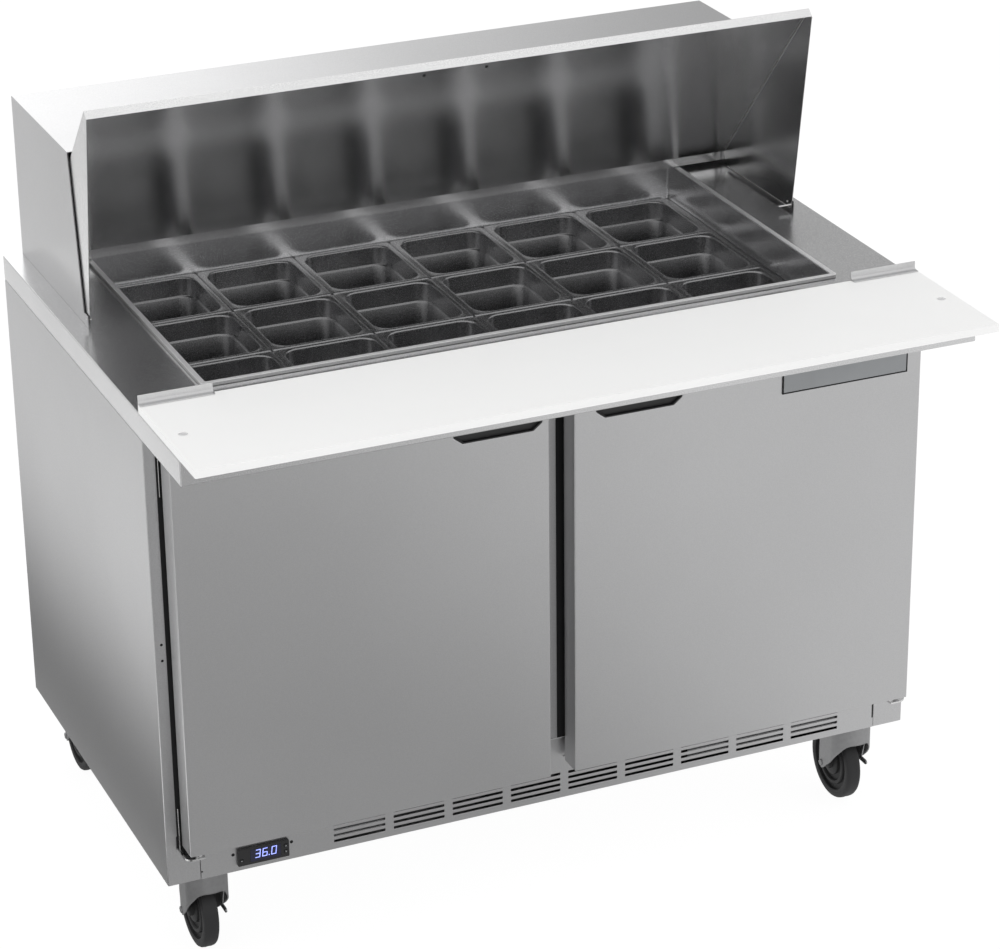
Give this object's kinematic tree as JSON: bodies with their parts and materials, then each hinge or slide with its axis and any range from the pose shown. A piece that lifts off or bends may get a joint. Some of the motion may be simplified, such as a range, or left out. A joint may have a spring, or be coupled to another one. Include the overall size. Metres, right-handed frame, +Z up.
{
  "type": "sandwich prep table",
  "caption": "Refrigerated prep table on casters: hinged lid over removable food pans, front cutting board, hinged doors over cold storage.",
  "frame": {"origin": "on the floor, below the middle of the bounding box", "axes": "+X to the right seen from the front, +Y towards the wall behind, +Z up"},
  "size_m": [1.2192, 0.9648, 1.2462],
  "materials": {
    "stainless": "brushed stainless sheet",
    "satin_stainless": "satin stainless sheet",
    "bright_stainless": "polished stainless",
    "galvanised": "zinc-plated pressed steel",
    "polyethylene": "white fine-textured polyethylene",
    "black_plastic": "black moulded plastic",
    "grey_plastic": "dark grey moulded plastic",
    "gasket_rubber": "black magnetic door gasket",
    "wheel_grey": "dark grey polyurethane",
    "black_enamel": "black enamel",
    "coil_aluminium": "aluminium fins",
    "coated_wire": "white coating on steel"
  },
  "bodies": {
    "cabinet": {"cabinet_case": "satin_stainless", "worktop": "stainless", "pan_well": "stainless", "hood": "stainless", "lid_pin_left": "bright_stainless", "lid_pin_right": "bright_stainless", "board_clip_left": "bright_stainless", "board_clip_right": "bright_stainless", "hinge_bracket_left": "galvanised", "hinge_bracket_right": "galvanised", "front_grille": "satin_stainless", "controller_case": "black_plastic", "compressor": "black_enamel", "condenser_coil": "coil_aluminium", "evaporator_coil": "coil_aluminium", "shelf_left": "coated_wire", "shelf_right": "coated_wire", "pan_front_1": "bright_stainless", "pan_front_2": "bright_stainless", "pan_front_3": "bright_stainless", "pan_front_4": "bright_stainless", "pan_front_5": "bright_stainless", "pan_front_6": "bright_stainless", "pan_middle_1": "bright_stainless", "pan_middle_2": "bright_stainless", "pan_middle_3": "bright_stainless", "pan_middle_4": "bright_stainless", "pan_middle_5": "bright_stainless", "pan_middle_6": "bright_stainless", "pan_rear_1": "bright_stainless", "pan_rear_2": "bright_stainless", "pan_rear_3": "bright_stainless", "pan_rear_4": "bright_stainless", "pan_rear_5": "bright_stainless", "pan_rear_6": "bright_stainless"},
    "lid": {"lid_panel": "satin_stainless", "lid_handle": "stainless"},
    "left_door": {"door_left": "satin_stainless", "door_pull_left": "black_plastic", "door_gasket_left": "gasket_rubber"},
    "right_door": {"door_right": "satin_stainless", "door_pull_right": "black_plastic", "door_gasket_right": "gasket_rubber", "badge_plate": "grey_plastic"},
    "board": {"cutting_board": "polyethylene"},
    "condenser_rotor": {"condenser_fan": "black_plastic"},
    "evaporator_rotor": {"evaporator_fan": "black_plastic"},
    "set_button": {"button_set": "grey_plastic"},
    "up_button": {"button_up": "grey_plastic"},
    "down_button": {"button_down": "grey_plastic"},
    "front_left_caster": {"caster_fork_front_left": "galvanised"},
    "front_left_wheel": {"caster_wheel_front_left": "wheel_grey"},
    "front_left_brake": {"caster_brake_front_left": "galvanised"},
    "front_right_caster": {"caster_fork_front_right": "galvanised"},
    "front_right_wheel": {"caster_wheel_front_right": "wheel_grey"},
    "front_right_brake": {"caster_brake_front_right": "galvanised"},
    "rear_left_caster": {"caster_fork_rear_left": "galvanised"},
    "rear_left_wheel": {"caster_wheel_rear_left": "wheel_grey"},
    "rear_right_caster": {"caster_fork_rear_right": "galvanised"},
    "rear_right_wheel": {"caster_wheel_rear_right": "wheel_grey"}
  },
  "joints": [
    {"name": "lid_hinge", "type": "hinge", "parent": "cabinet", "child": "lid", "pos_m": [0, 0.0976, 0.9136], "axis": [1, 0, 0], "range_deg": [0, 80]},
    {"name": "left_door_hinge", "type": "hinge", "parent": "cabinet", "child": "left_door", "pos_m": [-0.5688, -0.2818, 0.2265], "axis": [0, 0, -1], "range_deg": [0, 110]},
    {"name": "right_door_hinge", "type": "hinge", "parent": "cabinet", "child": "right_door", "pos_m": [0.5688, -0.2818, 0.2265], "axis": [0, 0, 1], "range_deg": [0, 110]},
    {"name": "board_slide", "type": "slide", "parent": "cabinet", "child": "board", "axis": [0, -1, 0], "range_m": [0, 0.05]},
    {"name": "set_button_press", "type": "slide", "parent": "cabinet", "child": "set_button", "axis": [0, 1, 0], "range_m": [0, 0.0007]},
    {"name": "up_button_press", "type": "slide", "parent": "cabinet", "child": "up_button", "axis": [0, 1, 0], "range_m": [0, 0.0007]},
    {"name": "down_button_press", "type": "slide", "parent": "cabinet", "child": "down_button", "axis": [0, 1, 0], "range_m": [0, 0.0007]},
    {"name": "condenser_fan_spin", "type": "hinge", "parent": "cabinet", "child": "condenser_rotor", "pos_m": [0.28, 0.3056, 0.281], "axis": [0, 1, 0], "continuous": true},
    {"name": "evaporator_fan_spin", "type": "hinge", "parent": "cabinet", "child": "evaporator_rotor", "pos_m": [0, 0.2956, 0.656], "axis": [0, 1, 0], "continuous": true},
    {"name": "front_left_swivel", "type": "hinge", "parent": "cabinet", "child": "front_left_caster", "pos_m": [-0.54, -0.2119, 0.152], "axis": [0, 0, 1], "continuous": true},
    {"name": "front_left_wheel_spin", "type": "hinge", "parent": "front_left_caster", "child": "front_left_wheel", "pos_m": [-0.54, -0.1714, 0.0625], "axis": [1, 0, 0], "continuous": true},
    {"name": "front_left_brake_lever", "type": "hinge", "parent": "front_left_caster", "child": "front_left_brake", "pos_m": [-0.54, -0.2119, 0.106], "axis": [1, 0, 0], "range_deg": [0, 20]},
    {"name": "front_right_swivel", "type": "hinge", "parent": "cabinet", "child": "front_right_caster", "pos_m": [0.54, -0.2119, 0.152], "axis": [0, 0, 1], "continuous": true},
    {"name": "front_right_wheel_spin", "type": "hinge", "parent": "front_right_caster", "child": "front_right_wheel", "pos_m": [0.54, -0.1714, 0.0625], "axis": [1, 0, 0], "continuous": true},
    {"name": "front_right_brake_lever", "type": "hinge", "parent": "front_right_caster", "child": "front_right_brake", "pos_m": [0.54, -0.2119, 0.106], "axis": [1, 0, 0], "range_deg": [0, 20]},
    {"name": "rear_left_swivel", "type": "hinge", "parent": "cabinet", "child": "rear_left_caster", "pos_m": [-0.54, 0.3794, 0.152], "axis": [0, 0, 1], "continuous": true},
    {"name": "rear_left_wheel_spin", "type": "hinge", "parent": "rear_left_caster", "child": "rear_left_wheel", "pos_m": [-0.54, 0.4199, 0.0625], "axis": [1, 0, 0], "continuous": true},
    {"name": "rear_right_swivel", "type": "hinge", "parent": "cabinet", "child": "rear_right_caster", "pos_m": [0.54, 0.3794, 0.152], "axis": [0, 0, 1], "continuous": true},
    {"name": "rear_right_wheel_spin", "type": "hinge", "parent": "rear_right_caster", "child": "rear_right_wheel", "pos_m": [0.54, 0.4199, 0.0625], "axis": [1, 0, 0], "continuous": true}
  ]
}
